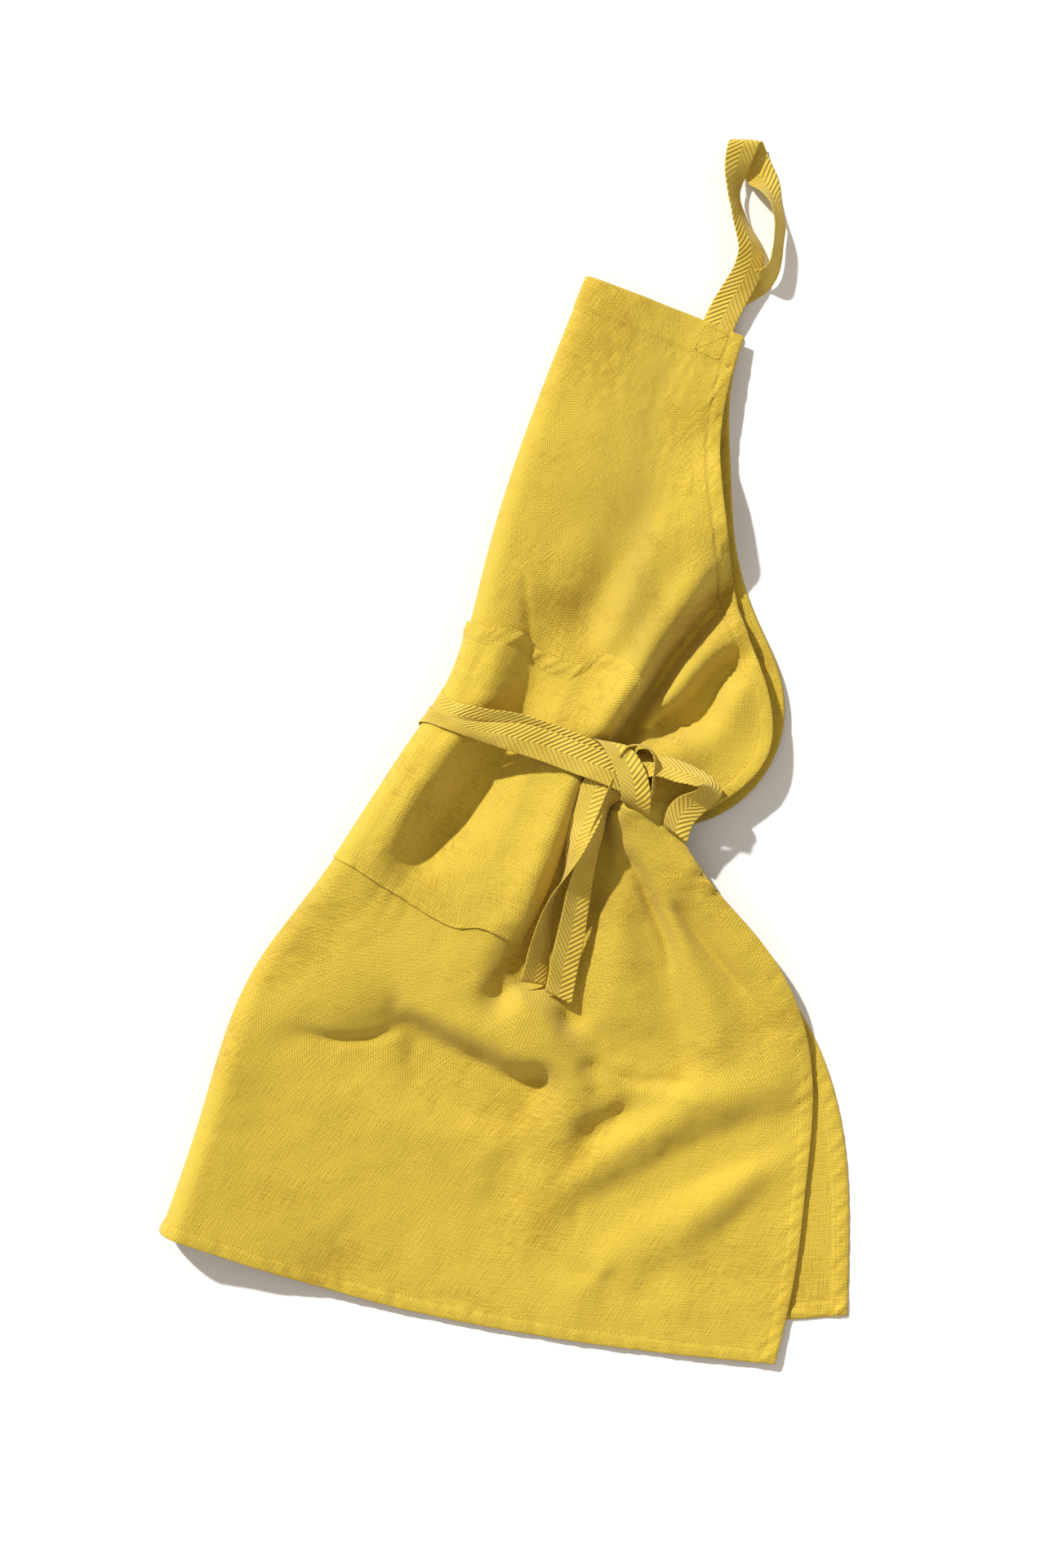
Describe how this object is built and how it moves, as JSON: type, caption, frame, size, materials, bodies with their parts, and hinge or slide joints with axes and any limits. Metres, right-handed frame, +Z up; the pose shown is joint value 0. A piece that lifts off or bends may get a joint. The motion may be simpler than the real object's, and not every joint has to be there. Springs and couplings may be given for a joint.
{
  "type": "bib apron",
  "caption": "Mustard cotton-linen bib apron folded in half lengthwise and laid flat, tape ties wound round the waist and knotted, tape neck loop lying above the bib.",
  "frame": {"origin": "on the table, at the middle of the whole folded apron seen from above", "axes": "+Y from the hem up to the bib and neck loop, +X from the centre fold to the open side edges, +Z up from the table"},
  "size_m": [0.5589, 1.0076, 0.0545],
  "materials": {
    "cloth": "garment-dyed cotton-linen plain weave, washed, matte",
    "tape": "garment-dyed cotton herringbone tape, matte",
    "thread": "dyed cotton sewing thread"
  },
  "bodies": {
    "root": {"body_panel": "cloth", "pocket_panel": "cloth", "armhole_facing_upper": "cloth", "armhole_facing_lower": "cloth", "neck_strap_end_upper": "tape", "neck_strap_end_lower": "tape", "waist_tie_upper": "tape", "waist_tie_lower": "tape", "tie_knot": "tape", "tie_corner_loop": "tape", "stitches_bib_hem": "thread", "stitches_bottom_hem": "thread", "stitches_side_hems": "thread", "stitches_armholes": "thread", "stitches_pocket": "thread", "stitches_strap_box": "thread"},
    "neck_loop": {"neck_strap": "tape"},
    "front_tail": {"tie_tail_front": "tape"},
    "back_tail": {"tie_tail_back": "tape"}
  },
  "joints": [
    {"name": "neck_loop_lift", "type": "hinge", "parent": "root", "child": "neck_loop", "pos_m": [-0.145, 0.3537, 0.0115], "axis": [1, 0, 0], "range_deg": [0, 90]},
    {"name": "front_tail_lift", "type": "hinge", "parent": "root", "child": "front_tail", "pos_m": [-0.0705, -0.0378, 0.04], "axis": [-1, 0, 0], "range_deg": [0, 75]},
    {"name": "back_tail_lift", "type": "hinge", "parent": "root", "child": "back_tail", "pos_m": [-0.0845, -0.0378, 0.04], "axis": [-1, 0, 0], "range_deg": [0, 75]}
  ]
}
